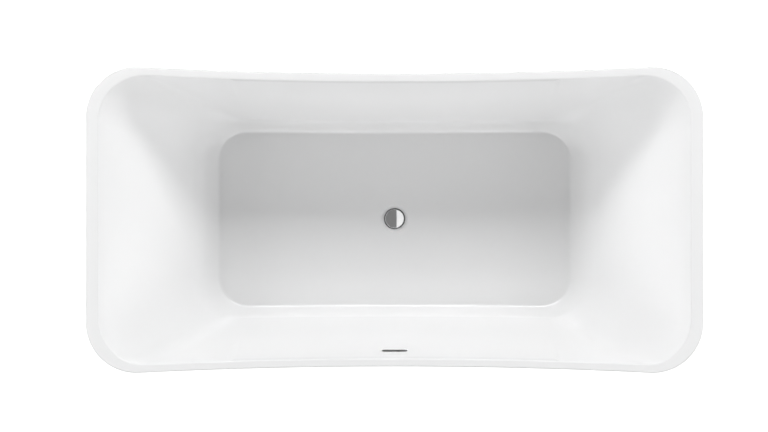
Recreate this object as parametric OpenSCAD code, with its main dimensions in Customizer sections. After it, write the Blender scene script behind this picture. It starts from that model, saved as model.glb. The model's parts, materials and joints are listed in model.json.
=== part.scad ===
// Freestanding double-walled bathtub with a centre waste, a slotted overflow and a levelling frame.
// +X runs along the bath, +Y away from the overflow side, +Z up. The origin is on the floor, midway.

/* [Outside] */
// Length over the rim
bath_l = 1700; // [1650:10:1750]
// Width over the rim, measured across its four corners
bath_w = 842; // [830:2:860]
// Height of the rim's top above the floor
bath_h = 580; // [570:5:600]
// How far the middle of each long side draws in
waist = 18; // [10:1:20]
// Radius of the outside corners
corner_r = 139; // [130:1:145]
// Lean of the two end panels of the skirt, from upright
skirt_end_lean = 6; // [3:0.5:7]
// Lean of the two long panels of the skirt, from upright
skirt_side_lean = 3; // [2:0.25:3.5]
// Gap between the skirt and the floor
skirt_gap = 4; // [3:0.5:8]

/* [Rim and basin] */
// Width of the rim along the long sides, at the middle
rim_side = 21.5; // [21:0.5:24]
// Width of the rim at the ends
rim_end = 35; // [32:0.5:38]
// How much the long sides of the mouth draw in
mouth_waist = 16; // [8:1:18]
// Corner radius of the mouth
mouth_r = 126; // [115:1:130]
// Depth from the rim's top to the basin floor
basin_d = 430; // [410:5:440]
// Length of the flat basin floor
floor_l = 1130; // [1100:5:1160]
// Width of the flat basin floor at the middle
floor_w = 554; // [540:2:560]
// Corner radius of the flat basin floor
floor_r = 90; // [80:2:100]
// Radius of the hollow curve between an end wall and the basin floor
end_cove = 145; // [120:5:150]
// Radius of the hollow curve between a side wall and the basin floor
side_cove = 40; // [35:1:45]
// Thickness of the reinforced acrylic basin
basin_t = 6; // [5:0.5:6.5]
// Thickness of the skirt
skirt_t = 5; // [4:0.5:5.5]

/* [Waste] */
// Diameter of the chrome cap over the waste
cap_d = 60; // [58:1:62]
// Diameter of the waste flange
flange_d = 70; // [68:1:72]
// Diameter of the shallow dish around the waste
dish_d = 84; // [80:1:90]
// Outside diameter of the outlet pipe
outlet_d = 40; // [38:0.5:40]

/* [Overflow] */
// Length of the overflow slot
slot_l = 72; // [64:2:74]
// Height of the overflow slot
slot_h = 16; // [12:1:16]
// Depth of the slot's centre below the rim's top
slot_depth = 71; // [68:1:80]
// Outside diameter of the overflow hose
hose_d = 18; // [17:0.5:18.5]

/* [Frame and feet] */
// Length of the two rails
rail_l = 1480; // [1440:10:1500]
// Distance of each rail from the bath's centre line
rail_y = 150; // [145:5:160]
// Distance of the two outer crossbars from the middle
crossbar_outer_x = 600; // [580:10:610]
// Distance of the two inner crossbars from the middle
crossbar_inner_x = 170; // [150:5:200]
// Distance of the corner feet from the bath's centre line
foot_y = 250; // [240:5:260]
// Diameter of a foot pad
pad_d = 50; // [40:2:54]
// Diameter of a foot stud
stud_d = 12; // [12:1:12]

/* [Hidden] */
$fn = 64;
eps = 0.01;
corner_steps = 8;   // outline points round each corner
side_steps = 6;     // outline points along each half side
end_steps = 3;      // outline points along each half end
rim_edge = 5.5;     // rounding of the rim's outer edge
mouth_edge = 6;     // rounding between the rim and the walls
seam_drop = 28;     // depth of the rim's turned-down edge
bond_gap = 0.5;     // clearance between the rim's turned-down edge and the skirt
tongue_h = 19;      // height of the skirt's tongue behind the rim's edge
bond_h = 3;         // thickness of the adhesive bead on the tongue
running = 0.05;     // radial clearance of a running fit

floor_top = bath_h - basin_d;
floor_under = floor_top - basin_t;
mouth_hl = bath_l / 2 - rim_end;
mouth_hw = bath_w / 2 - waist - rim_side;
floor_waist = 3;
dish_deep = 3;
waste_hole_d = 53;
seam_z = bath_h - seam_drop;

board_t = 18;
board_l = 1080;
board_w = 500;
board_hole_d = 120;
rail_h = 30;
rail_w = 40;
rail_t = 2.5;
rail_top = floor_under - board_t;
crossbar_h = 30;
crossbar_w = 40;
crossbar_t = 2;
crossbar_top = rail_top - rail_h;
crossbar_bottom = crossbar_top - crossbar_h;
crossbar_l = 640;
crossbar_xs = [-crossbar_outer_x, -crossbar_inner_x, crossbar_inner_x, crossbar_outer_x];
crossbar_names = ["crossbar_left", "crossbar_centre_left", "crossbar_centre_right", "crossbar_right"];
pad_h = 14;
washer_t = 2.5;
nut_h = 10;
nut_af = 18;
jam_nut_h = 6;
foot_spots = [
    [-crossbar_outer_x, -foot_y], [-crossbar_outer_x, foot_y],
    [crossbar_outer_x, -foot_y], [crossbar_outer_x, foot_y],
    [-crossbar_inner_x, 0], [crossbar_inner_x, 0]
];
foot_count = len(foot_spots);
bolt_d = 8;

flange_t = 2.5;
gasket_t = 1;
flange_under = floor_top - dish_deep + gasket_t;
flange_top = flange_under + flange_t;
tail_r = 23;
tail_bore_r = 20;
tail_bottom = 108;
cap_rest = flange_top + 0.4;
stem_r = 5;
cartridge_r = 9;
cartridge_bore_r = 7.5;
cartridge_bottom = 96;
cartridge_top = 134;
collar_top = 112;
body_bottom = 62;
branch_z = 84;
branch_r = 9;
nut_over_r = 31;
outlet_r = outlet_d / 2;
outlet_bottom = 18;
hose_r = hose_d / 2;
hose_wall = 2.5;
hose_out = 12;      // hose's centre line from the basin's outer face
hose_bend = 100;
spigot_r = hose_r - hose_wall;
spigot_bore_r = 4.8;
spigot_l = 18;
branch_end = 44;    // where the hose starts, from the bath's centre line
spout_l = 74;       // where the hose starts, down the wall from the slot's centre
ear_x = 51;         // overflow studs from the slot's centre
seat_gap = 0.3;
depth_mark_z = 52;  // groove that shows how far a socket goes up the outlet pipe

white = "#f3f3f1";
steel = "#a7abae";
chrome = "#c9cdd1";
brass = "#b99a5b";
rubber = "#2b2b2b";
grey_plastic = "#d9dad8";
dark_plastic = "#3d4043";

// ---- outlines -------------------------------------------------------------------------------------

// A quarter of a rounded rectangle whose long side bows in by `bow`, from the middle of the +X end to
// the middle of the +Y side. The bowed side is one arc, tangent to the corner arc.
function quarter(hl, hw, bow, r) = let (
    big = ((hl - r) ^ 2 + (bow - r) ^ 2 - r ^ 2) / (2 * bow),
    lean = asin((hl - r) / (big + r))
) concat(
    [for (i = [0 : end_steps - 1]) [hl, (hw - r) * i / end_steps]],
    [for (i = [0 : corner_steps]) let (a = 90 * i / corner_steps)
        [hl - r + r * cos(a), hw - r + r * sin(a)]],
    [for (i = [0 : side_steps - 1]) let (a = lean * (1 - i / side_steps))
        [big * sin(a), hw - bow + big * (1 - cos(a))]]
);

// The whole outline, anticlockwise. hl is its half-length and hw its half-width at the corners.
function outline(hl, hw, bow, r) = let (
    q = quarter(hl, hw, bow, r),
    n = len(q),
    half = concat(q, [[0, hw - bow]], [for (i = [n - 1 : -1 : 1]) [-q[i].x, q[i].y]])
) concat(half, -half);

function at_height(points, z) = [for (p = points) [p.x, p.y, z]];

// A round ring whose points lie at the same bearings as those of the basin floor's outline.
function round_ring(r, z) = [
    for (p = outline(floor_l / 2, floor_w / 2 + floor_waist, floor_waist, floor_r))
        [r * p.x / norm(p), r * p.y / norm(p), z]
];

// ---- basin and skirt sections ---------------------------------------------------------------------

// Lean from upright of a wall that runs from the mouth into a cove on the floor.
function wall_lean(top, foot, cove) =
    atan2(top - foot, basin_d - cove) - asin(cove / norm([top - foot, basin_d - cove]));

// Distance of a wall from the centre line at depth d. `off` moves it outwards by a thickness, and
// `edge` rounds it into the rim.
function wall_at(d, top, foot, cove, off = 0, edge = 0) = let (
    lean = wall_lean(top, foot, cove),
    cove_d = basin_d - cove,
    edge_top = top + edge * (1 - sin(lean)) / cos(lean)
)   d < edge * (1 - sin(lean)) ? edge_top - sqrt(edge ^ 2 - (edge - d) ^ 2)
    : d < cove_d + (cove + off) * sin(lean) ? top + off / cos(lean) - d * tan(lean)
    : foot + sqrt(max(0, (cove + off) ^ 2 - (d - cove_d) ^ 2));

function mix(a, b, u) = a + (b - a) * min(1, max(0, u));

// One level outline of the basin's wall at depth d.
function wall_ring(d, off = 0, edge = 0) = let (
    u = d / basin_d,
    bow = mix(mouth_waist, floor_waist, u)
) at_height(outline(
    wall_at(d, mouth_hl, floor_l / 2, end_cove, off, edge),
    wall_at(d, mouth_hw, floor_w / 2, side_cove, off, edge) + bow,
    bow,
    mix(mouth_r, floor_r, u) + off), bath_h - d);

// One level outline of the outside, `inset` in from the skin.
function skin_ring(z, inset = 0) = let (drop = max(0, bath_h - rim_edge - z)) at_height(outline(
    bath_l / 2 - inset - drop * tan(skirt_end_lean),
    bath_w / 2 - inset - drop * tan(skirt_side_lean),
    waist, corner_r - inset), z);

// Closed skin through rings with equal point counts. The last ring joins the first.
module ring_loop(rings) {
    n = len(rings[0]);
    m = len(rings);
    polyhedron(
        points = [for (ring = rings) each ring],
        faces = [for (j = [0 : m - 1], i = [0 : n - 1]) let (k = (j + 1) % m, l = (i + 1) % n)
            each [[j * n + i, j * n + l, k * n + l], [j * n + i, k * n + l, k * n + i]]],
        convexity = 8);
}

// Closed tube through rings, with flat ends.
module ring_tube(rings) {
    n = len(rings[0]);
    m = len(rings);
    polyhedron(
        points = [for (ring = rings) each ring],
        faces = concat(
            [[for (i = [n - 1 : -1 : 0]) i]],
            [for (j = [0 : m - 2], i = [0 : n - 1]) let (l = (i + 1) % n)
                each [[j * n + i, (j + 1) * n + l, (j + 1) * n + i],
                      [j * n + i, j * n + l, (j + 1) * n + l]]],
            [[for (i = [0 : n - 1]) (m - 1) * n + i]]),
        convexity = 4);
}

module ring_of(outer_r, inner_r, z0, z1) {
    translate([0, 0, z0]) difference() {
        cylinder(h = z1 - z0, r = outer_r);
        translate([0, 0, -1]) cylinder(h = z1 - z0 + 2, r = inner_r);
    }
}

module hex_nut(across, bore_r, z0, z1) {
    translate([0, 0, z0]) difference() {
        cylinder(h = z1 - z0, r = across / 2 / cos(30), $fn = 6);
        translate([0, 0, -1]) cylinder(h = z1 - z0 + 2, r = bore_r);
    }
}

// Slot with round ends, standing on the XY plane.
module slot_block(length, width, z0, z1) {
    translate([0, 0, z0]) linear_extrude(z1 - z0) union() {
        square([length - width, width], center = true);
        for (s = [-1, 1]) translate([s * (length - width) / 2, 0]) circle(d = width);
    }
}

// ---- shells ---------------------------------------------------------------------------------------

side_lean = wall_lean(mouth_hw, floor_w / 2, side_cove);
overflow_y = -wall_at(slot_depth, mouth_hw, floor_w / 2, side_cove, basin_t) - seat_gap;
overflow_z = bath_h - slot_depth;

// Places children on the outer face of the front wall at the overflow: X along the bath, Y up the wall
// and Z outwards. The wall bows, so flat pieces stand off it by seat_gap.
module at_overflow() {
    translate([0, overflow_y, overflow_z]) rotate([90 + side_lean, 0, 0]) children();
}

module basin() {
    cove_steps = 11;
    cove_angle = 90 - wall_lean(mouth_hl, floor_l / 2, end_cove);
    cove_ds = [for (i = [0 : cove_steps]) basin_d - end_cove * (1 - cos(cove_angle * i / cove_steps))];
    wall_ds = [for (i = [1 : 3]) cove_ds[cove_steps] * (1 - i / 3.6)];
    edge_ds = [for (a = [75 : -25 : 0]) mouth_edge * (1 - cos(a))];
    under_ds = [for (i = [0 : 3]) mix(basin_t, cove_ds[cove_steps], i / 4)];
    under_cove = [for (i = [8 : -1 : 1])
        basin_d + basin_t - (end_cove + basin_t) * (1 - cos(cove_angle * i / 8))];
    color(white) difference() {
        ring_loop(concat(
            [round_ring(waste_hole_d / 2, floor_top - dish_deep),
             round_ring(dish_d / 2, floor_top - dish_deep),
             round_ring(dish_d / 2, floor_top)],
            [for (d = cove_ds) wall_ring(d)],
            [for (d = wall_ds) wall_ring(d)],
            [for (d = edge_ds) wall_ring(d, edge = mouth_edge)],
            [for (a = [0 : 30 : 90]) skin_ring(bath_h - rim_edge * (1 - cos(a)), rim_edge * (1 - sin(a)))],
            [skin_ring(seam_z), skin_ring(seam_z, basin_t), skin_ring(bath_h - basin_t, basin_t)],
            [for (d = under_ds) wall_ring(d, basin_t)],
            [for (d = under_cove) wall_ring(d, basin_t)],
            [wall_ring(basin_d + basin_t, basin_t)],
            [round_ring(waste_hole_d / 2, floor_under)]));
        at_overflow() slot_block(slot_l, slot_h, -4 * basin_t, basin_t);
    }
}

module skirt() {
    return_w = 22;
    foot_round = 5;
    tongue_in = basin_t + bond_gap;
    shoulder_z = seam_z - bond_gap;
    tongue_z = seam_z + tongue_h;
    color(white) ring_loop(concat(
        [skin_ring(tongue_z, tongue_in + skirt_t), skin_ring(tongue_z, tongue_in),
         skin_ring(shoulder_z, tongue_in), skin_ring(shoulder_z)],
        [for (i = [1 : 2]) skin_ring(mix(shoulder_z, skirt_gap + foot_round, i / 3))],
        [for (a = [0 : 30 : 90])
            skin_ring(skirt_gap + foot_round * (1 - sin(a)), foot_round * (1 - cos(a)))],
        [skin_ring(skirt_gap, return_w), skin_ring(skirt_gap + skirt_t, return_w),
         skin_ring(skirt_gap + skirt_t, skirt_t)],
        [for (i = [1 : 2]) skin_ring(mix(skirt_gap, shoulder_z, i / 3), skirt_t)],
        [skin_ring(shoulder_z - 12, skirt_t), skin_ring(shoulder_z - 5, tongue_in + skirt_t)]));
}

// Adhesive bead between the skirt's tongue and the underside of the rim.
module rim_bond() {
    low = seam_z + tongue_h;
    inner = basin_t + bond_gap + skirt_t;
    color("#e6e4de") ring_loop([
        skin_ring(low, inner), skin_ring(low + bond_h, inner),
        skin_ring(low + bond_h, basin_t + bond_gap), skin_ring(low, basin_t + bond_gap)]);
}

// ---- base board and frame -------------------------------------------------------------------------

board_screw_xs = [-480, -300, 300, 480];

module base_board() {
    round_r = 80;
    color("#c9b48c") difference() {
        translate([0, 0, rail_top]) linear_extrude(board_t) union() {
            square([board_l - 2 * round_r, board_w], center = true);
            square([board_l, board_w - 2 * round_r], center = true);
            for (sx = [-1, 1], sy = [-1, 1])
                translate([sx * (board_l / 2 - round_r), sy * (board_w / 2 - round_r)]) circle(r = round_r);
        }
        translate([0, 0, rail_top - 1]) cylinder(h = board_t + 2, d = board_hole_d);
        board_screw_places() translate([0, 0, -1]) cylinder(h = 15, d = 5);
    }
}

// The underside of the board over each wood screw.
module board_screw_places() {
    for (x = board_screw_xs, s = [-1, 1]) translate([x, s * rail_y, rail_top]) children();
}

// Channel section open towards the centre line, its web on the outer side.
module rail(side) {
    color(steel) difference() {
        translate([-rail_l / 2, side * rail_y - rail_w / 2, rail_top - rail_h])
            cube([rail_l, rail_w, rail_h]);
        translate([-rail_l / 2 - 1, side * (rail_y - rail_t) - rail_w / 2, rail_top - rail_h + rail_t])
            cube([rail_l + 2, rail_w, rail_h - 2 * rail_t]);
        board_screw_places() translate([0, 0, -rail_t - 1]) cylinder(h = rail_t + 2, d = 5);
        frame_bolt_places() cylinder(h = 2 * rail_t + 2, d = bolt_d, center = true);
        for (x = [-1, 1]) translate([x * (rail_l / 2 - 20), side * rail_y, rail_top - rail_h - 1])
            cylinder(h = rail_t + 2, d = 6);
    }
}

module rail_front() { rail(-1); }
module rail_back() { rail(1); }

// Where the rails cross the crossbars, at the crossbars' top face.
module frame_bolt_places() {
    for (x = crossbar_xs, s = [-1, 1]) translate([x, s * rail_y, crossbar_top]) children();
}

module crossbar(x) {
    color(steel) difference() {
        translate([x - crossbar_w / 2, -crossbar_l / 2, crossbar_bottom])
            cube([crossbar_w, crossbar_l, crossbar_h]);
        translate([x - crossbar_w / 2 + crossbar_t, -crossbar_l / 2 - 1, crossbar_bottom + crossbar_t])
            cube([crossbar_w - 2 * crossbar_t, crossbar_l + 2, crossbar_h - 2 * crossbar_t]);
        for (p = foot_spots) if (p.x == x) translate([p.x, p.y, crossbar_bottom - 1])
            cylinder(h = crossbar_h + 2, r = stud_d / 2 + 0.6);
        for (s = [-1, 1]) translate([x, s * rail_y, crossbar_bottom - 1])
            cylinder(h = crossbar_h + 2, d = bolt_d);
        for (s = [-1, 1]) translate([x, s * (crossbar_l / 2 - 22), crossbar_top - crossbar_t - 1])
            cylinder(h = crossbar_t + 2, d = 6);
    }
}

module frame_bolts() {
    color(steel) frame_bolt_places() {
        translate([0, 0, rail_t]) cylinder(h = 5.3, r = 13 / 2 / cos(30), $fn = 6);
        translate([0, 0, -crossbar_h - 9]) cylinder(h = crossbar_h + 9 + rail_t, d = bolt_d);
    }
}

module frame_nuts() {
    color(steel) frame_bolt_places() hex_nut(13, bolt_d / 2, -crossbar_h - 6.5, -crossbar_h);
}

module tube_end_caps() {
    wall = 2;
    inner_w = crossbar_w - 2 * crossbar_t;
    inner_h = crossbar_h - 2 * crossbar_t;
    color(dark_plastic) for (x = crossbar_xs, s = [-1, 1])
        translate([x, s * crossbar_l / 2, crossbar_bottom + crossbar_h / 2]) rotate([s * -90, 0, 0]) {
            translate([0, 0, wall / 2]) cube([crossbar_w, crossbar_h, wall], center = true);
            translate([0, 0, -6]) cube([inner_w, inner_h, 12 + eps], center = true);
        }
}

module board_screws() {
    color(steel) board_screw_places() {
        translate([0, 0, -rail_t - 3]) cylinder(h = 3, r1 = 3.6, r2 = 5);
        translate([0, 0, -rail_t]) cylinder(h = rail_t + 12, d = 5);
    }
}

// Angle bracket bonded to the inside of the skirt. It lies along +Y: the foot runs from -reach to 0
// and the upright leans with the skirt.
module bracket(reach, lean, width) {
    leg = 60;
    plate = 3;
    rotate([90, 0, 90]) linear_extrude(width, center = true) difference() {
        polygon([
            [-reach, 0], [0, 0], [leg * tan(lean), leg],
            [leg * tan(lean) - plate, leg], [-plate, plate], [-reach, plate]]);
    }
}

// Places children at the skirt's inner face beside each end of a crossbar, facing outwards.
module at_side_brackets() {
    z = crossbar_top;
    big = ((bath_l / 2 - corner_r) ^ 2 + (waist - corner_r) ^ 2 - corner_r ^ 2) / (2 * waist);
    for (x = crossbar_xs, s = [-1, 1]) {
        bow = big - sqrt(big ^ 2 - x ^ 2);
        face = bath_w / 2 - waist + bow - skirt_t - (bath_h - rim_edge - z) * tan(skirt_side_lean);
        translate([x, s * (face - 0.4), z]) rotate([0, 0, s > 0 ? asin(x / big) : 180 - asin(x / big)])
            children();
    }
}

// The same at each end of the rails.
module at_end_brackets() {
    z = rail_top - rail_h + rail_t;
    face = bath_l / 2 - skirt_t - (bath_h - rim_edge - z) * tan(skirt_end_lean);
    for (sx = [-1, 1], sy = [-1, 1])
        translate([sx * (face - 0.4), sy * (rail_y + 1), z]) rotate([0, 0, -sx * 90]) children();
}

side_reach = 100;
end_reach = 86;

module skirt_brackets() {
    color(steel) difference() {
        union() {
            at_side_brackets() bracket(side_reach, skirt_side_lean, 36);
            at_end_brackets() bracket(end_reach, skirt_end_lean, 32);
        }
        bracket_screw_places() cylinder(h = 20, d = 6, center = true);
    }
}

module bracket_screw_places() {
    for (x = crossbar_xs, s = [-1, 1]) translate([x, s * (crossbar_l / 2 - 22), crossbar_top]) children();
    for (sx = [-1, 1], sy = [-1, 1])
        translate([sx * (rail_l / 2 - 20), sy * rail_y, rail_top - rail_h + rail_t]) children();
}

module bracket_screws() {
    plate = 3;
    color(steel) bracket_screw_places() {
        translate([0, 0, plate]) cylinder(h = 4, r = 10 / 2 / cos(30), $fn = 6);
        translate([0, 0, -11]) cylinder(h = 11 + plate, d = 6);
    }
}

// ---- levelling feet -------------------------------------------------------------------------------

module at_feet() {
    for (p = foot_spots) translate([p.x, p.y, 0]) children();
}

module foot_washers() {
    color(steel) at_feet() ring_of(12, stud_d / 2 + 0.5, crossbar_bottom - washer_t, crossbar_bottom);
}

module foot_lock_nuts() {
    color(steel) at_feet() hex_nut(nut_af, stud_d / 2 + running, crossbar_top, crossbar_top + jam_nut_h);
}

module foot_pad(i) {
    brim = 5;
    neck_r = 12;
    color(dark_plastic) translate([foot_spots[i].x, foot_spots[i].y, 0]) difference() {
        rotate_extrude() polygon([
            [0, 0], [pad_d / 2 - 1.5, 0], [pad_d / 2, 1.5], [pad_d / 2, brim],
            [neck_r + 2, pad_h - 2], [neck_r, pad_h], [0, pad_h]]);
        translate([0, 0, 4]) cylinder(h = pad_h, d = stud_d);
    }
}

module foot_stud(i) {
    chamfer = 1.2;
    stud_top = rail_top - 2;
    color(steel) translate([foot_spots[i].x, foot_spots[i].y, 0]) rotate_extrude() polygon([
        [0, 4], [stud_d / 2, 4], [stud_d / 2, stud_top - chamfer],
        [stud_d / 2 - chamfer, stud_top], [0, stud_top]]);
}

module adjusting_nut(i) {
    top = crossbar_bottom - washer_t - 0.2;
    color(steel) translate([foot_spots[i].x, foot_spots[i].y, 0])
        hex_nut(nut_af, stud_d / 2 + running, top - nut_h, top);
}

// ---- waste and pop-up plug ------------------------------------------------------------------------

module waste_flange() {
    color(chrome) rotate_extrude() polygon([
        [tail_bore_r, tail_bottom], [tail_r, tail_bottom], [tail_r, flange_under],
        [flange_d / 2 - 1, flange_under], [flange_d / 2, flange_under + 1],
        [flange_d / 2 - 1.5, flange_top], [cap_d / 2 - 3, flange_top], [cap_d / 2 - 4, flange_top - 1],
        [tail_bore_r + 1, flange_top - 4], [tail_bore_r, flange_top - 5]]);
}

// Four-armed grid inside the flange's tail. It holds the plug's cartridge.
module waste_grid() {
    z = 118;
    h = 5;
    hub_r = cartridge_r + 2.5;
    hoop_r = tail_bore_r - running;
    color(chrome) {
        ring_of(hub_r, cartridge_r + running, z, z + h);
        ring_of(hoop_r, hoop_r - 1.5, z, z + h);
        for (a = [0 : 90 : 270]) rotate([0, 0, a]) translate([hub_r - 1, -1.5, z])
            cube([hoop_r - hub_r, 3, h]);
    }
}

module flange_gasket() {
    color(rubber) ring_of(flange_d / 2 - 1.5, tail_r + 0.2, flange_under - gasket_t, flange_under);
}

module waste_washer() {
    color(rubber) ring_of(34, tail_r + 0.2, floor_under - 5, floor_under);
}

module waste_body() {
    shoulder = floor_under - 5;
    color(grey_plastic) difference() {
        union() {
            rotate_extrude() polygon([
                [0, body_bottom], [25, body_bottom], [25, body_bottom + 16], [28, body_bottom + 18],
                [28, shoulder - 6], [34, shoulder - 4], [34, shoulder], [0, shoulder]]);
            translate([0, -20, branch_z]) rotate([90, 0, 0]) cylinder(h = branch_end - 20, r = branch_r);
            translate([0, -20, branch_z]) rotate([90, 0, 0])
                cylinder(h = branch_end - 20 + spigot_l, r = spigot_r);
        }
        translate([0, 0, 74]) cylinder(h = shoulder, r = tail_r);
        translate([0, 0, body_bottom - 1]) cylinder(h = 20, r = outlet_r);
        translate([0, 0, branch_z]) rotate([90, 0, 0]) cylinder(h = 100, r = spigot_bore_r);
    }
}

module plug_cartridge() {
    color(brass) rotate_extrude() polygon([
        [0, cartridge_bottom], [cartridge_r, cartridge_bottom], [cartridge_r, cartridge_top],
        [stem_r + running, cartridge_top], [stem_r + running, cartridge_top - 3],
        [cartridge_bore_r, cartridge_top - 3], [cartridge_bore_r, cartridge_bottom + 3],
        [0, cartridge_bottom + 3]]);
}

module plug_cap() {
    dome_r = 120;
    dome_h = 4.6;
    recess = 1.4;
    steps = 12;
    dome_rs = [for (i = [steps : -1 : 1]) cap_d / 2 * i / steps];
    color(chrome) rotate_extrude() polygon(concat(
        [[0, cap_rest + dome_h], [0, cap_rest + recess], [9, cap_rest + recess], [9, cap_rest],
         [cap_d / 2, cap_rest]],
        [for (r = dome_rs) [r, cap_rest + dome_h - dome_r + sqrt(dome_r * dome_r - r * r)]]));
}

module plug_seal() {
    color(rubber) ring_of(23.5, 19, cap_rest - 2.5, cap_rest);
}

module plug_plunger() {
    color(brass) rotate_extrude() polygon([
        [0, 101], [2.5, 101], [2.5, collar_top - 3], [7, collar_top - 3], [7, collar_top],
        [stem_r, collar_top], [stem_r, cap_rest - 2], [9, cap_rest - 2],
        [9, cap_rest + 1.39], [0, cap_rest + 1.39]]);
}

// Compression spring between the cartridge's floor and the plunger's collar.
module plug_spring() {
    wire_r = 0.6;
    coil_r = 5.4;
    low = cartridge_bottom + 3;
    high = collar_top - 3;
    turns = 5;
    steps = 14;
    sides = 6;
    count = turns * steps;
    color(steel) ring_tube([for (i = [0 : count]) let (
        u = i / count,
        z = low + wire_r + (high - low - 2 * wire_r) * u
    ) [for (k = [0 : sides - 1]) let (a = 360 * k / sides, t = 360 * turns * u, r = coil_r + wire_r * cos(a))
        [r * cos(t), r * sin(t), z + wire_r * sin(a)]]]);
}

module latch_rotor() {
    low = 122.5;
    color(dark_plastic) difference() {
        ring_of(7.1, stem_r + 0.25, low, low + 6);
        for (a = [0 : 90 : 270]) rotate([0, 0, a]) translate([6, -0.8, low + 3]) cube([3, 1.6, 4]);
    }
}

module outlet_washer() {
    bore_r = outlet_r + running;
    color(rubber) rotate_extrude() polygon([
        [bore_r, body_bottom - 4], [24.5, body_bottom - 4], [24.5, body_bottom - 1],
        [22.5, body_bottom], [bore_r, body_bottom]]);
}

module outlet_nut() {
    low = body_bottom - 7;
    high = body_bottom + 12;
    color(grey_plastic) difference() {
        union() {
            translate([0, 0, low]) cylinder(h = high - low, r = nut_over_r - 2);
            for (a = [0 : 30 : 330]) rotate([0, 0, a]) translate([nut_over_r - 4, -3, low])
                cube([4, 6, high - low]);
        }
        translate([0, 0, low - 1]) cylinder(h = 20, r = outlet_r + 0.4);
        translate([0, 0, low + 3]) cylinder(h = 20, r = 25 + running);
    }
}

module outlet_pipe() {
    bore_r = outlet_r - 2;
    mark_r = outlet_r - 0.4;
    top = body_bottom + 12;
    color(grey_plastic) rotate_extrude() polygon([
        [bore_r, outlet_bottom], [outlet_r, outlet_bottom], [outlet_r, depth_mark_z], [mark_r, depth_mark_z],
        [mark_r, depth_mark_z + 1.5], [outlet_r, depth_mark_z + 1.5], [outlet_r, top], [bore_r, top]]);
}

// ---- overflow -------------------------------------------------------------------------------------

box_l = 84;
box_h = 30;
box_out = 14;
box_back = 1.5;

module overflow_gasket() {
    color(rubber) at_overflow() difference() {
        slot_block(86, 30, 0, box_back);
        slot_block(74, 18, -1, box_back + 1);
    }
}

module overflow_box() {
    wall = 1.6;
    spout_r = 7;
    color(grey_plastic) at_overflow() difference() {
        union() {
            slot_block(118, box_h, box_back, box_back + 2.5);
            slot_block(box_l, box_h, box_back, box_out);
            translate([0, -spout_l, hose_out]) rotate([-90, 0, 0]) cylinder(h = spout_l - 10, r = spout_r);
            translate([0, -spout_l - spigot_l, hose_out]) rotate([-90, 0, 0])
                cylinder(h = spigot_l, r = spigot_r);
        }
        slot_block(box_l - 2 * wall, box_h - 2 * wall, box_back - 1, box_out - wall);
        translate([0, -spout_l - spigot_l - 1, hose_out]) rotate([-90, 0, 0])
            cylinder(h = spout_l + spigot_l + 1 - box_h / 2 + 3, r = spigot_bore_r);
        for (s = [-1, 1]) translate([s * ear_x, 0, 0]) cylinder(h = 6, r = 2.6);
    }
}

module overflow_studs() {
    color(steel) at_overflow() for (s = [-1, 1]) translate([s * ear_x, 0, 0]) {
        cylinder(h = 1.2, r = 6.5);
        cylinder(h = 10, r = 2.5);
    }
}

module overflow_nuts() {
    color(steel) at_overflow() for (s = [-1, 1]) translate([s * ear_x, 0, 0]) hex_nut(8, 2.5, 4, 8);
}

// The hose lies in the plane X = 0: down beside the basin, round one bend and in to the waste. The
// bend's centre is given first as its distance down the wall from the slot.
bend_down = (overflow_z - branch_z - hose_bend - (hose_out - hose_bend) * sin(side_lean)) / cos(side_lean);
bend_y = overflow_y + bend_down * sin(side_lean) + (hose_bend - hose_out) * cos(side_lean);

// A ring of the hose: its centre lies hose_bend from [0, y, z] at the bearing `a` from straight down.
function hose_ring(y, z, a, r) = [for (k = [0 : 15]) let (t = 22.5 * k, out = hose_bend + r * cos(t))
    [r * sin(t), y - out * sin(a), z - out * cos(a)]];

function hose_rings(r) = let (
    bend_z = branch_z + hose_bend,
    turn = 90 - side_lean,
    rise = bend_down - spout_l
) concat(
    [hose_ring(bend_y - rise * sin(side_lean), bend_z + rise * cos(side_lean), turn, r)],
    [for (i = [12 : -1 : 0]) hose_ring(bend_y, bend_z, turn * i / 12, r)],
    [hose_ring(-branch_end, bend_z, 0, r)]
);

module overflow_hose() {
    inner = hose_rings(spigot_r / cos(11.25));
    color(dark_plastic) ring_loop(concat(
        hose_rings(hose_r), [for (i = [len(inner) - 1 : -1 : 0]) inner[i]]));
}

// Worm-drive clip round the hose. It lies round the Z axis.
module hose_clip() {
    band_t = 0.8;
    band_w = 9;
    color(steel) {
        ring_of(hose_r + band_t, hose_r, 0, band_w);
        translate([-7, hose_r + band_t - 0.4, 0.5]) cube([14, 2.4, band_w - 1]);
        translate([-8.5, hose_r + band_t + 3, band_w / 2]) rotate([0, 90, 0]) cylinder(h = 17, r = 2.6);
    }
}

module hose_clip_upper() {
    at_overflow() translate([0, -spout_l - 5, hose_out]) rotate([90, 90, 0]) hose_clip();
}

module hose_clip_lower() {
    translate([0, -branch_end - 14, branch_z]) rotate([-90, 180, 0]) hose_clip();
}

basin();
skirt();
rim_bond();
base_board();
rail_front();
rail_back();
for (i = [0 : 3]) crossbar(crossbar_xs[i]);
frame_bolts();
frame_nuts();
tube_end_caps();
board_screws();
skirt_brackets();
bracket_screws();
foot_washers();
foot_lock_nuts();
for (i = [0 : foot_count - 1]) {
    foot_pad(i);
    foot_stud(i);
    adjusting_nut(i);
}
waste_flange();
waste_grid();
flange_gasket();
waste_washer();
waste_body();
plug_cartridge();
plug_cap();
plug_seal();
plug_plunger();
plug_spring();
latch_rotor();
outlet_washer();
outlet_nut();
outlet_pipe();
overflow_box();
overflow_gasket();
overflow_studs();
overflow_nuts();
overflow_hose();
hose_clip_upper();
hose_clip_lower();
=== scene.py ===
"""Freestanding bathtub: the looks of every piece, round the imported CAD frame. Metres throughout."""
import json
import math

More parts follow.
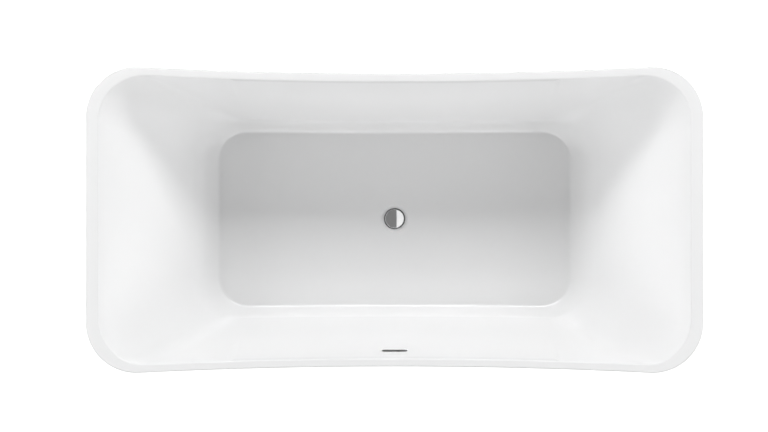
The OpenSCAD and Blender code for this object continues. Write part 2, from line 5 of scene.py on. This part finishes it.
import bmesh
import bpy
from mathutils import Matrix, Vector


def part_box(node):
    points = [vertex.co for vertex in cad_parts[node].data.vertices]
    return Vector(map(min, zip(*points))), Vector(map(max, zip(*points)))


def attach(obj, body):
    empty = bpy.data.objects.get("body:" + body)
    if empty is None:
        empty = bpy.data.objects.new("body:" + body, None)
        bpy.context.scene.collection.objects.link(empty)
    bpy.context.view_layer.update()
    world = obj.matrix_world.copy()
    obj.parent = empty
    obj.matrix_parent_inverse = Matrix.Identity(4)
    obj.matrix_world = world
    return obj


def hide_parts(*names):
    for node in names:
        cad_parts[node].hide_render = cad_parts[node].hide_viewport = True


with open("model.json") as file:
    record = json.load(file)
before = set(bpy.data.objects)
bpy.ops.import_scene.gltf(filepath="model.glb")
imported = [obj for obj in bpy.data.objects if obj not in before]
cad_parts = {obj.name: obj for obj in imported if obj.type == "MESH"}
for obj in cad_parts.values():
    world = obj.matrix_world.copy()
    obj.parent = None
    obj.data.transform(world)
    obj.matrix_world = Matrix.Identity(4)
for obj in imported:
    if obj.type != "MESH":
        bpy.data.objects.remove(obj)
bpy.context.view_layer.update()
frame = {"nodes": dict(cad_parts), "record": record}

# ---- sizes ---------------------------------------------------------------------------------------

BASIN_LOW, BASIN_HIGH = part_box("basin")
SKIRT_LOW, SKIRT_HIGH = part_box("skirt")
BATH_L = BASIN_HIGH.x - BASIN_LOW.x
BATH_W = BASIN_HIGH.y - BASIN_LOW.y
TOP = BASIN_HIGH.z
DEPTH = 0.430
FLOOR_Z = TOP - DEPTH
BASIN_T = 0.006
SKIRT_T = 0.005

WAIST = 0.018
CORNER_R = 0.139
END_LEAN = math.radians(6)
SIDE_LEAN = math.radians(3)
RIM_EDGE = 0.0055
MOUTH_EDGE = 0.004
MOUTH_HL = BATH_L / 2 - 0.035
MOUTH_HW = BATH_W / 2 - WAIST - 0.0215
MOUTH_WAIST = 0.016
MOUTH_R = 0.126
FLOOR_HL = 1.120 / 2
FLOOR_HW = 0.547 / 2
FLOOR_WAIST = 0.003
FLOOR_R = 0.090
CORNER_SWELL = 0.090
CORNER_RATE = 1.9
SEAM_Z = TOP - 0.028
DISH_R = 0.036
DISH_SLOPE = 0.009
DISH_DEEP = 0.003
WASTE_HOLE_R = 0.0265
SLOT_L = 0.072
SLOT_H = 0.016
SLOT_DEPTH = 0.071
SLOT_FALL = 0.012

SKIRT_FOOT = 0.005
SKIRT_LIP = 0.022
JOINT_GAP = 0.0005
BEVEL = 0.001

END_STEPS = 12
CORNER_STEPS = 28
SIDE_STEPS = (12, 56, 22)
DISH_STEPS = 12
COVE_STEPS = 60
WALL_STEPS = 26
UNDER_TOP_STEPS = 10
UNDER_STEPS = 20
SLOT_STEPS = 48
SHARP_DEG = 40.0
PANEL_FROM = 0.22
PANEL_TO = 0.39
PANEL_X = 0.451
PANEL_LEAN = 0.090
PANEL_DEPTH = 0.225
PANEL_SINK = 0.0022
PANEL_EDGE = 0.0028


def side_fractions():
    """Places along half a side, close together where the panel's edge runs."""
    ends = (0.0, PANEL_FROM, PANEL_TO, 1.0)
    return [
        start + (stop - start) * i / steps
        for start, stop, steps in zip(ends, ends[1:], SIDE_STEPS)
        for i in range(steps)
    ]


SIDE_FRACTIONS = side_fractions()


def leg(radius, height):
    """How far a circle reaches sideways at this height from its centre."""
    return math.sqrt(max(0.0, radius**2 - height**2))


class Wall:
    """Section of one wall, as its distance from the centre line at each depth below the rim."""

    def __init__(self, top, foot, cove, crease, fillet):
        """The cove meets the floor at the angle `crease`, eased by a small `fillet`."""
        self.top, self.cove, self.fillet = top, cove, fillet
        self.cove_x = foot - cove * math.sin(crease)
        self.cove_d = DEPTH - cove * math.cos(crease)
        reach = math.hypot(top - self.cove_x, self.cove_d)
        self.lean = math.atan2(top - self.cove_x, self.cove_d) - math.asin(cove / reach)
        # The fillet touches the floor, and runs into the cove at the slope `join`.
        join = math.acos((cove * math.cos(crease) - fillet) / (cove - fillet))
        self.fillet_x = self.cove_x + (cove - fillet) * math.sin(join)
        self.fillet_h = cove * (math.cos(crease) - math.cos(join))

    def at(self, depth, off=0.0, edge=0.0):
        """`off` is a thickness outwards, and `edge` rounds the wall into the rim."""
        s, c = math.sin(self.lean), math.cos(self.lean)
        above_floor = DEPTH - depth
        if depth < edge * (1 - s):
            return self.top + edge * (1 - s) / c - math.sqrt(edge**2 - (edge - depth) ** 2)
        if depth < self.cove_d + (self.cove + off) * s:
            return self.top + off / c - depth * math.tan(self.lean)
        if off == 0 and above_floor < self.fillet_h:
            return self.fillet_x + leg(self.fillet, self.fillet - above_floor)
        return self.cove_x + leg(self.cove + off, depth - self.cove_d)


END_WALL = Wall(MOUTH_HL, FLOOR_HL, 0.150, math.radians(24), 0.026)
SIDE_WALL = Wall(MOUTH_HW, FLOOR_HW, 0.070, math.radians(29), 0.022)


def mix(a, b, u):
    return a + (b - a) * min(1.0, max(0.0, u))


def outline(hl, hw, bow, r):
    """A rounded rectangle whose long sides bow in, anticlockwise from the middle of the +X end.
    hl is its half-length and hw its half-width at the corners."""
    big = ((hl - r) ** 2 + (bow - r) ** 2 - r**2) / (2 * bow)
    lean = math.asin((hl - r) / (big + r))
    quarter = [(hl, (hw - r) * i / END_STEPS) for i in range(END_STEPS)]
    for i in range(CORNER_STEPS):
        a = (math.pi / 2 + lean) * i / CORNER_STEPS
        quarter.append((hl - r + r * math.cos(a), hw - r + r * math.sin(a)))
    for u in SIDE_FRACTIONS:
        a = lean * (1 - u)
        quarter.append((big * math.sin(a), hw - bow + big * (1 - math.cos(a))))
    half = quarter + [(0.0, hw - bow)] + [(-x, y) for x, y in quarter[:0:-1]]
    return half + [(-x, -y) for x, y in half]


def at_height(points, z):
    return [(x, y, z) for x, y in points]


def ease(u):
    """Smooth step from 0 to 1."""
    u = min(1.0, max(0.0, u))
    return u * u * (3 - 2 * u)


def sunk(point, depth):
    """Sinks the middle panel of each long wall, between two edges that fade out down the wall."""
    x, y = point
    edge = PANEL_X + PANEL_LEAN * depth
    inside = ease((edge - abs(x)) / (2 * PANEL_EDGE) + 0.5)
    sink = PANEL_SINK * inside * (1 - ease(depth / PANEL_DEPTH)) * ease(abs(y) / 0.1)
    return x, y + math.copysign(sink, y)


def corner_r(depth):
    """Corner radius of the basin. It swells above the floor, so the cove keeps its slope there."""
    spread = max(0.0, SIDE_WALL.at(depth) - FLOOR_HW)
    swell = CORNER_SWELL * (1 - math.exp(-CORNER_RATE * spread / CORNER_SWELL))
    return mix(MOUTH_R, FLOOR_R + swell, depth / DEPTH)


def wall_ring(depth, off=0.0, edge=0.0):
    """One level line of the basin's wall."""
    bow = mix(MOUTH_WAIST, FLOOR_WAIST, depth / DEPTH)
    points = outline(
        END_WALL.at(depth, off, edge),
        SIDE_WALL.at(depth, off, edge) + bow,
        bow,
        corner_r(min(depth, DEPTH)) + off,
    )
    if off == 0 and depth > MOUTH_EDGE:
        points = [sunk(p, depth) for p in points]
    return at_height(points, TOP - depth)


def skin_ring(z, inset=0.0):
    """One level line of the outside, `inset` in from the skin."""
    drop = max(0.0, TOP - RIM_EDGE - z)
    return at_height(
        outline(
            BATH_L / 2 - inset - drop * math.tan(END_LEAN),
            BATH_W / 2 - inset - drop * math.tan(SIDE_LEAN),
            WAIST,
            CORNER_R - inset,
        ),
        z,
    )


def round_ring(r, z):
    """A circle whose points lie at the same bearings as those of the floor's outline."""
    points = outline(FLOOR_HL, FLOOR_HW + FLOOR_WAIST, FLOOR_WAIST, FLOOR_R)
    return at_height([(r * x / math.hypot(x, y), r * y / math.hypot(x, y)) for x, y in points], z)


def arc(steps, turn=90.0):
    """Angles in radians from 0 to `turn` degrees, both ends included."""
    return [math.radians(turn) * i / steps for i in range(steps + 1)]


# ---- mesh helpers --------------------------------------------------------------------------------


def is_sharp(edge):
    return edge.calc_face_angle(0.0) > math.radians(SHARP_DEG)


def new_piece(name, bm):
    """Finishes a bmesh as a smooth-shaded object with its sharp edges marked."""
    bmesh.ops.remove_doubles(bm, verts=bm.verts, dist=1e-7)
    bmesh.ops.recalc_face_normals(bm, faces=bm.faces)
    for face in bm.faces:
        face.smooth = True
    for edge in bm.edges:
        if len(edge.link_faces) == 2 and is_sharp(edge):
            edge.smooth = False
    mesh = bpy.data.meshes.new(name)
    bm.to_mesh(mesh)
    bm.free()
    piece = bpy.data.objects.new(name, mesh)
    bpy.context.scene.collection.objects.link(piece)
    return piece


def add_rings(bm, rings, closed=True, caps=False):
    """Joins rings of equal point counts with quads. `closed` joins the last ring to the first, and
    `caps` fills both."""
    rows = [[bm.verts.new(p) for p in ring] for ring in rings]
    count = len(rows[0])
    pairs = list(zip(rows, rows[1:]))
    if closed:
        pairs.append((rows[-1], rows[0]))
    for a, b in pairs:
        for i in range(count):
            j = (i + 1) % count
            bm.faces.new((a[i], a[j], b[j], b[i]))
    if caps:
        bm.faces.new(rows[0])
        bm.faces.new(rows[-1])
    return rows


def lathe(bm, section, closed=True, segments=128):
    """Turns a section of (radius, height) points round the Z axis."""
    turn = [2 * math.pi * k / segments for k in range(segments)]
    rings = [[(r * math.cos(a), r * math.sin(a), z) for a in turn] for r, z in section]
    return add_rings(bm, rings, closed)


def rounded(section, radius, steps=4):
    """Rounds every corner of a closed section by about `radius`."""
    out = []
    count = len(section)
    for i, here in enumerate(section):
        p = Vector(here)
        before = Vector(section[i - 1]) - p
        after = Vector(section[(i + 1) % count]) - p
        reach = min(radius, before.length * 0.45, after.length * 0.45)
        a = p + before.normalized() * reach
        b = p + after.normalized() * reach
        for k in range(steps + 1):
            u = k / steps
            out.append(tuple(a * (1 - u) ** 2 + p * 2 * u * (1 - u) + b * u**2))
    return out


# ---- materials -----------------------------------------------------------------------------------


class Shader:
    """A Principled material with a small helper for its procedural nodes."""

    def __init__(self, name, **values):
        self.material = bpy.data.materials.new(name)
        self.material.use_nodes = True
        self.tree = self.material.node_tree
        self.bsdf = self.tree.nodes["Principled BSDF"]
        for socket, value in values.items():
            self.bsdf.inputs[socket.replace("_", " ")].default_value = value
        self.place = self.tree.nodes.new("ShaderNodeTexCoord").outputs["Object"]

    def noise(self, scale, detail, rough=0.5, stretch=(1, 1, 1)):
        scaler = self.tree.nodes.new("ShaderNodeMapping")
        scaler.inputs["Scale"].default_value = stretch
        self.tree.links.new(self.place, scaler.inputs["Vector"])
        node = self.tree.nodes.new("ShaderNodeTexNoise")
        node.inputs["Scale"].default_value = scale
        node.inputs["Detail"].default_value = detail
        node.inputs["Roughness"].default_value = rough
        self.tree.links.new(scaler.outputs["Vector"], node.inputs["Vector"])
        return node.outputs["Fac"]

    def ramp(self, factor, stops):
        node = self.tree.nodes.new("ShaderNodeValToRGB")
        while len(node.color_ramp.elements) < len(stops):
            node.color_ramp.elements.new(0.5)
        for element, (place, colour) in zip(node.color_ramp.elements, stops):
            element.position = place
            element.color = (*colour, 1.0)
        self.tree.links.new(factor, node.inputs["Fac"])
        return node.outputs["Color"]

    def range(self, factor, low, high):
        node = self.tree.nodes.new("ShaderNodeMapRange")
        node.inputs["To Min"].default_value = low
        node.inputs["To Max"].default_value = high
        self.tree.links.new(factor, node.inputs["Value"])
        return node.outputs["Result"]

    def colour(self, output):
        self.tree.links.new(output, self.bsdf.inputs["Base Color"])

    def rough(self, output):
        self.tree.links.new(output, self.bsdf.inputs["Roughness"])

    def bump(self, height, strength, distance):
        node = self.tree.nodes.new("ShaderNodeBump")
        node.inputs["Strength"].default_value = strength
        node.inputs["Distance"].default_value = distance
        self.tree.links.new(height, node.inputs["Height"])
        self.tree.links.new(node.outputs["Normal"], self.bsdf.inputs["Normal"])


def acrylic_material():
    """Polished white sanitary acrylic: faint clouding, uneven polish and a trace of orange peel."""
    m = Shader("acrylic", IOR=1.49)
    clouding = m.noise(scale=2.2, detail=4.0)
    m.colour(m.ramp(clouding, [(0.3, (0.895, 0.897, 0.90)), (0.7, (0.915, 0.916, 0.918))]))
    m.rough(m.range(m.noise(scale=9.0, detail=5.0, rough=0.6), low=0.04, high=0.075))
    m.bump(m.noise(scale=160.0, detail=2.0), strength=0.02, distance=0.0004)
    return m.material


def chrome_material():
    """Bright chrome plate with very fine wiping marks."""
    m = Shader("chrome", Metallic=1.0)
    clouding = m.noise(scale=40.0, detail=3.0)
    m.colour(m.ramp(clouding, [(0.3, (0.80, 0.805, 0.81)), (0.7, (0.86, 0.862, 0.865))]))
    m.rough(m.range(m.noise(scale=180.0, detail=6.0, rough=0.7), low=0.05, high=0.12))
    wiping = m.noise(scale=900.0, detail=4.0, rough=0.6, stretch=(1, 6, 1))
    m.bump(wiping, strength=0.03, distance=0.0001)
    return m.material


def simple_material(name, low, high, rough, metallic=0.0, grain=60.0, bump=0.1):
    """A material whose colour, roughness and bump all follow fine noise."""
    m = Shader(name, Metallic=metallic)
    m.colour(m.ramp(m.noise(scale=grain * 0.3, detail=4.0), [(0.3, low), (0.7, high)]))
    m.rough(m.range(m.noise(scale=grain, detail=5.0, rough=0.6), *rough))
    m.bump(m.noise(scale=grain * 4, detail=4.0), strength=bump, distance=0.0003)
    return m.material


# Both colours, the range of the roughness, and where they differ the metal, the grain and the bump.
SIMPLE = {
    "adhesive": ((0.78, 0.77, 0.73), (0.84, 0.83, 0.80), (0.45, 0.6)),
    "board": ((0.42, 0.31, 0.19), (0.62, 0.48, 0.31), (0.7, 0.9), 0.0, 180.0, 0.5),
    "galvanised": ((0.50, 0.52, 0.53), (0.66, 0.68, 0.69), (0.28, 0.5), 1.0, 90.0),
    "zinc": ((0.60, 0.60, 0.58), (0.74, 0.74, 0.72), (0.2, 0.38), 1.0, 200.0),
    "brass": ((0.66, 0.49, 0.22), (0.76, 0.60, 0.31), (0.18, 0.35), 1.0, 220.0),
    "rubber": ((0.018, 0.018, 0.018), (0.035, 0.035, 0.034), (0.6, 0.8), 0.0, 150.0),
    "grey_plastic": ((0.62, 0.63, 0.62), (0.70, 0.71, 0.70), (0.35, 0.5)),
    "black_plastic": ((0.022, 0.022, 0.024), (0.04, 0.04, 0.043), (0.35, 0.55)),
}
MATERIALS = {"acrylic": acrylic_material(), "chrome": chrome_material()}
MATERIALS.update((name, simple_material(name, *values)) for name, values in SIMPLE.items())


def dress(piece, slot_name, stands_for, body="bath"):
    """Gives a piece its material and its body, and hides the CAD nodes that it stands for."""
    piece.data.materials.clear()
    piece.data.materials.append(MATERIALS[slot_name])
    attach(piece, body)
    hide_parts(*stands_for)
    return piece


# ---- shells --------------------------------------------------------------------------------------


def slot_frame():
    """Place, up direction and outward normal of the front wall's water side at the overflow."""
    place = Vector((0.0, -SIDE_WALL.at(SLOT_DEPTH), TOP - SLOT_DEPTH))
    s, c = math.sin(SIDE_WALL.lean), math.cos(SIDE_WALL.lean)
    return place, Vector((0, -s, c)), Vector((0, -c, -s))


def make_basin():
    """Inner shell with its rim, in rings from the waste hole up to the rim and back underneath."""
    bm = bmesh.new()
    dish = [round_ring(r, FLOOR_Z - DISH_DEEP) for r in (WASTE_HOLE_R, DISH_R)]
    for i in range(1, DISH_STEPS + 1):
        u = i / DISH_STEPS
        dish.append(round_ring(DISH_R + DISH_SLOPE * u, FLOOR_Z - DISH_DEEP * (1 - ease(u))))
    floor = [
        [tuple(Vector(a).lerp(Vector(b), u)) for a, b in zip(dish[-1], wall_ring(DEPTH))]
        for u in (0.3, 0.7)
    ]
    # Levels crowd together towards the floor, where the wall turns.
    cove_top = END_WALL.cove_d + END_WALL.cove * math.sin(END_WALL.lean)
    cove = [DEPTH - (DEPTH - cove_top) * (i / COVE_STEPS) ** 3 for i in range(COVE_STEPS + 1)]
    wall = [mix(cove_top, MOUTH_EDGE, i / WALL_STEPS) for i in range(1, WALL_STEPS)]
    edge = [MOUTH_EDGE * (1 - math.cos(a)) for a in reversed(arc(10, 78))]
    rim = [
        skin_ring(TOP - RIM_EDGE * (1 - math.cos(a)), RIM_EDGE * (1 - math.sin(a)))
        for a in arc(8)
    ]
    lowest = DEPTH + BASIN_T
    under_top = [mix(BASIN_T, cove_top, i / UNDER_TOP_STEPS) for i in range(UNDER_TOP_STEPS)]
    under = [
        lowest - (lowest - cove_top) * (1 - i / UNDER_STEPS) ** 1.8 for i in range(1, UNDER_STEPS)
    ]
    rings = dish + floor
    rings += [wall_ring(d) for d in cove + wall]
    rings += [wall_ring(d, edge=MOUTH_EDGE) for d in edge] + rim
    rings += [skin_ring(SEAM_Z + BEVEL), skin_ring(SEAM_Z, BEVEL)]
    rings += [skin_ring(SEAM_Z, BASIN_T), skin_ring(TOP - BASIN_T, BASIN_T)]
    rings += [wall_ring(d, BASIN_T) for d in under_top + under + [lowest]]
    rings += [round_ring(WASTE_HOLE_R, FLOOR_Z - BASIN_T)]
    add_rings(bm, rings)
    basin = new_piece("basin_shell", bm)
    cut_slot(basin)
    return dress(basin, "acrylic", stands_for=["basin"])


def cut_slot(basin):
    """Cuts the overflow slot, a rounded oblong whose lower lip falls away, through the wall."""
    place, up, out = slot_frame()
    bm = bmesh.new()
    half = SLOT_H / 2
    past_wall = 0.02
    rings = []
    for reach, fall in ((-past_wall, 0.0), (0.0, 0.0), (past_wall, SLOT_FALL)):
        ring = []
        for k in range(SLOT_STEPS):
            a = 2 * math.pi * k / SLOT_STEPS
            x = math.copysign(SLOT_L / 2 - half, math.cos(a)) + half * math.cos(a)
            drop = fall if math.sin(a) < 0 else 0.0
            ring.append(place + Vector((x, 0, 0)) + up * (half * math.sin(a) - drop) + out * reach)
        rings.append(ring)
    add_rings(bm, rings, closed=False, caps=True)
    cutter = new_piece("slot_cutter", bm)
    cut = basin.modifiers.new("slot", "BOOLEAN")
    cut.operation = "DIFFERENCE"
    cut.solver = "EXACT"
    cut.object = cutter
    bpy.context.view_layer.objects.active = basin
    bpy.ops.object.modifier_apply(modifier=cut.name)
    bpy.data.objects.remove(cutter)
    bm = bmesh.new()
    bm.from_mesh(basin.data)
    for edge in bm.edges:
        if len(edge.link_faces) == 2:
            edge.smooth = not is_sharp(edge)
    bm.to_mesh(basin.data)
    bm.free()


def make_skirt():
    """Outer shell, with a tongue that goes up inside the rim and a lip turned in at its foot."""
    bottom = SKIRT_LOW.z
    lip_top = bottom + SKIRT_T
    tongue_in = BASIN_T + JOINT_GAP
    tongue_top = SKIRT_HIGH.z
    shoulder = SEAM_Z - JOINT_GAP
    inner_high = shoulder - 0.012
    inner_bend = shoulder - 0.005
    bm = bmesh.new()
    rings = [skin_ring(tongue_top, tongue_in + SKIRT_T), skin_ring(tongue_top, tongue_in)]
    rings += [skin_ring(shoulder, tongue_in), skin_ring(shoulder, BEVEL)]
    rings += [skin_ring(shoulder - BEVEL)]
    rings += [skin_ring(mix(shoulder - BEVEL, bottom + SKIRT_FOOT, i / 16)) for i in range(1, 16)]
    rings += [
        skin_ring(bottom + SKIRT_FOOT * (1 - math.sin(a)), SKIRT_FOOT * (1 - math.cos(a)))
        for a in arc(8)
    ]
    rings += [skin_ring(bottom, SKIRT_LIP), skin_ring(lip_top, SKIRT_LIP)]
    rings += [skin_ring(lip_top, SKIRT_T)]
    rings += [skin_ring(mix(lip_top, inner_high, i / 8), SKIRT_T) for i in range(1, 9)]
    rings += [skin_ring(inner_bend, tongue_in + SKIRT_T)]
    add_rings(bm, rings)
    return dress(new_piece("skirt_shell", bm), "acrylic", stands_for=["skirt"])


# ---- waste ---------------------------------------------------------------------------------------


def make_plug_cap():
    """Domed chrome cap with a rolled edge."""
    low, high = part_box("plug_cap")
    radius = (high.x - low.x) / 2
    edge = 0.0012
    dome = 0.120
    socket_r = 0.009
    socket_deep = 0.0014
    dome_steps = 24
    section = [(socket_r, low.z + socket_deep), (socket_r, low.z), (radius - edge, low.z)]
    section += [
        (radius - edge + edge * math.sin(a), low.z + edge * (1 - math.cos(a))) for a in arc(8, 160)
    ]
    slope = math.asin((radius - edge) / dome)
    section += [
        (dome * math.sin(slope * u), high.z - dome * (1 - math.cos(slope * u)))
        for u in [1 - i / dome_steps for i in range(dome_steps)]
    ]
    bm = bmesh.new()
    rows = lathe(bm, section, closed=False)
    bm.faces.new(rows[0])
    top = bm.verts.new((0, 0, high.z))
    last = rows[-1]
    for i, v in enumerate(last):
        bm.faces.new((v, last[(i + 1) % len(last)], top))
    return dress(new_piece("plug_cap_dome", bm), "chrome", ["plug_cap"], body="plug")


def make_waste_flange():
    """Flange with a rolled lip, a conical seat under the cap, and its tail."""
    low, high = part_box("waste_flange")
    radius = (high.x - low.x) / 2
    cap_low, cap_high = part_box("plug_cap")
    cap_r = (cap_high.x - cap_low.x) / 2
    under = high.z - 0.0025
    bore_r = 0.020
    tail_r = 0.023
    section = [
        (bore_r, low.z),
        (tail_r, low.z),
        (tail_r, under),
        (radius - BEVEL, under),
        (radius, under + BEVEL),
        (radius - 0.0012, high.z),
        (cap_r - 0.003, high.z),
        (0.0225, high.z - 0.003),
        (bore_r, high.z - 0.005),
    ]
    bm = bmesh.new()
    lathe(bm, rounded(section, 0.0008))
    return dress(new_piece("waste_flange_ring", bm), "chrome", stands_for=["waste_flange"])


# ---- scene ---------------------------------------------------------------------------------------


def make_floor():
    """A white studio floor, which no piece reflects."""
    bm = bmesh.new()
    reach = 40.0
    signs = ((-1, -1), (1, -1), (1, 1), (-1, 1))
    bm.faces.new([bm.verts.new((sx * reach, sy * reach, 0.0)) for sx, sy in signs])
    mesh = bpy.data.meshes.new("studio_floor")
    bm.to_mesh(mesh)
    bm.free()
    floor = bpy.data.objects.new("studio_floor", mesh)
    bpy.context.scene.collection.objects.link(floor)
    m = Shader("studio_floor", Roughness=0.8, Emission_Strength=0.5)
    m.bsdf.inputs["Base Color"].default_value = (0.9, 0.9, 0.9, 1)
    m.bsdf.inputs["Emission Color"].default_value = (1, 1, 1, 1)
    mesh.materials.append(m.material)
    floor.visible_diffuse = False
    floor.visible_glossy = False


def make_camera():
    """Straight down from a little behind the middle. The lens shift puts the bath's middle a little
    right of the frame's middle and a little below it, both as shares of the frame's width."""
    data = bpy.data.cameras.new("camera")
    camera = bpy.data.objects.new("camera", data)
    bpy.context.scene.collection.objects.link(camera)
    above_rim = 2.65
    frame_w = 2.110
    behind = 0.025
    right = 0.0138
    below = 0.0052
    camera.location = (0.0, behind, TOP + above_rim)
    data.sensor_width = 36.0
    data.lens = data.sensor_width * above_rim / frame_w
    data.shift_x = -right
    data.shift_y = below - behind / frame_w
    data.clip_end = 100.0
    bpy.context.scene.camera = camera


NEAR = 4.0


def softbox(name, azimuth, low, high, half_turn, radiance, distance=6.0):
    """A plain rectangular light that spans the elevations low to high and half_turn degrees to each
    side of azimuth, seen from the bath."""
    middle = math.radians((low + high) / 2)
    turn = math.radians(azimuth)
    aim = Vector((0.0, 0.0, 0.35))
    flat = math.cos(middle)
    way = Vector((math.cos(turn) * flat, math.sin(turn) * flat, math.sin(middle)))
    data = bpy.data.lights.new(name, "AREA")
    data.shape = "RECTANGLE"
    data.size = 2 * distance * math.tan(math.radians(half_turn))
    data.size_y = 2 * distance * math.tan(math.radians((high - low) / 2))
    data.energy = radiance * math.pi * data.size * data.size_y
    light = bpy.data.objects.new(name, data)
    light.location = aim + way * distance
    light.rotation_euler = way.to_track_quat("Z", "Y").to_euler()
    bpy.context.scene.collection.objects.link(light)
    return light


def only_on(light, pieces):
    """Keeps a light to these pieces."""
    linked = bpy.data.collections.new(light.name + "_pieces")
    for piece in pieces:
        linked.objects.link(piece)
    light.light_linking.receiver_collection = linked


def only_reflected(light, pieces):
    """Keeps a light to its mirror image in these pieces."""
    light.visible_diffuse = False
    only_on(light, pieces)


def make_lights(acrylic, bright, outside):
    """Softboxes at both ends, a wide key behind and a low fill in front light every piece. The rest
    are linked: edge_* to the basin, chrome_* to the cap and skirt_* to the skirt."""
    key = softbox("key", azimuth=90, low=35, high=48.4, half_turn=42, radiance=5.6)
    key.visible_glossy = False
    for azimuth in (0, 180):
        for name, low, high, radiance in (("end_low", 10, 25, 2.8), ("end_high", 25, 45, 1.65)):
            light = softbox(f"{name}_{azimuth}", azimuth, low, high, 42, radiance)
            light.visible_glossy = False
    softbox("fill", azimuth=-90, low=20, high=60, half_turn=42, radiance=0.99)
    for name, azimuth, radiance in (("edge_back", -90, 7.0), ("edge_front", 90, 11.0)):
        only_reflected(softbox(name, azimuth, 35, 48, 24, radiance, NEAR), acrylic)
    for name, azimuth, high, radiance in (
        ("chrome_bright", 0, 83, 0.95),
        ("chrome_dim", 180, 97, 0.17),
    ):
        only_reflected(softbox(name, azimuth, 58, high, 60, radiance, NEAR), bright)
    for name, azimuth, radiance in (("skirt_front", -125, 2.2), ("skirt_back", 55, 1.5)):
        only_on(softbox(name, azimuth, 5, 40, 24, radiance, NEAR), outside)


def make_world():
    """White to the camera, and nearly dark to everything else."""
    world = bpy.data.worlds.new("studio")
    bpy.context.scene.world = world
    world.use_nodes = True
    tree = world.node_tree
    rays = tree.nodes.new("ShaderNodeLightPath")
    level = tree.nodes.new("ShaderNodeMapRange")
    level.inputs["To Min"].default_value = 0.06
    level.inputs["To Max"].default_value = 1.0
    tree.links.new(rays.outputs["Is Camera Ray"], level.inputs["Value"])
    tree.links.new(level.outputs["Result"], tree.nodes["Background"].inputs["Strength"])
    tree.nodes["Background"].inputs["Color"].default_value = (1, 1, 1, 1)
    bpy.context.scene.view_settings.view_transform = "Standard"


basin = make_basin()
skirt = make_skirt()
cap = make_plug_cap()
make_waste_flange()

slots = {s["node"]: s["material_slot"] for s in frame["record"]["subparts"]}
for name, obj in frame["nodes"].items():
    obj.data.materials.clear()
    obj.data.materials.append(MATERIALS[slots[name]])

make_floor()
make_camera()
make_lights([basin], [cap], [skirt])
make_world()
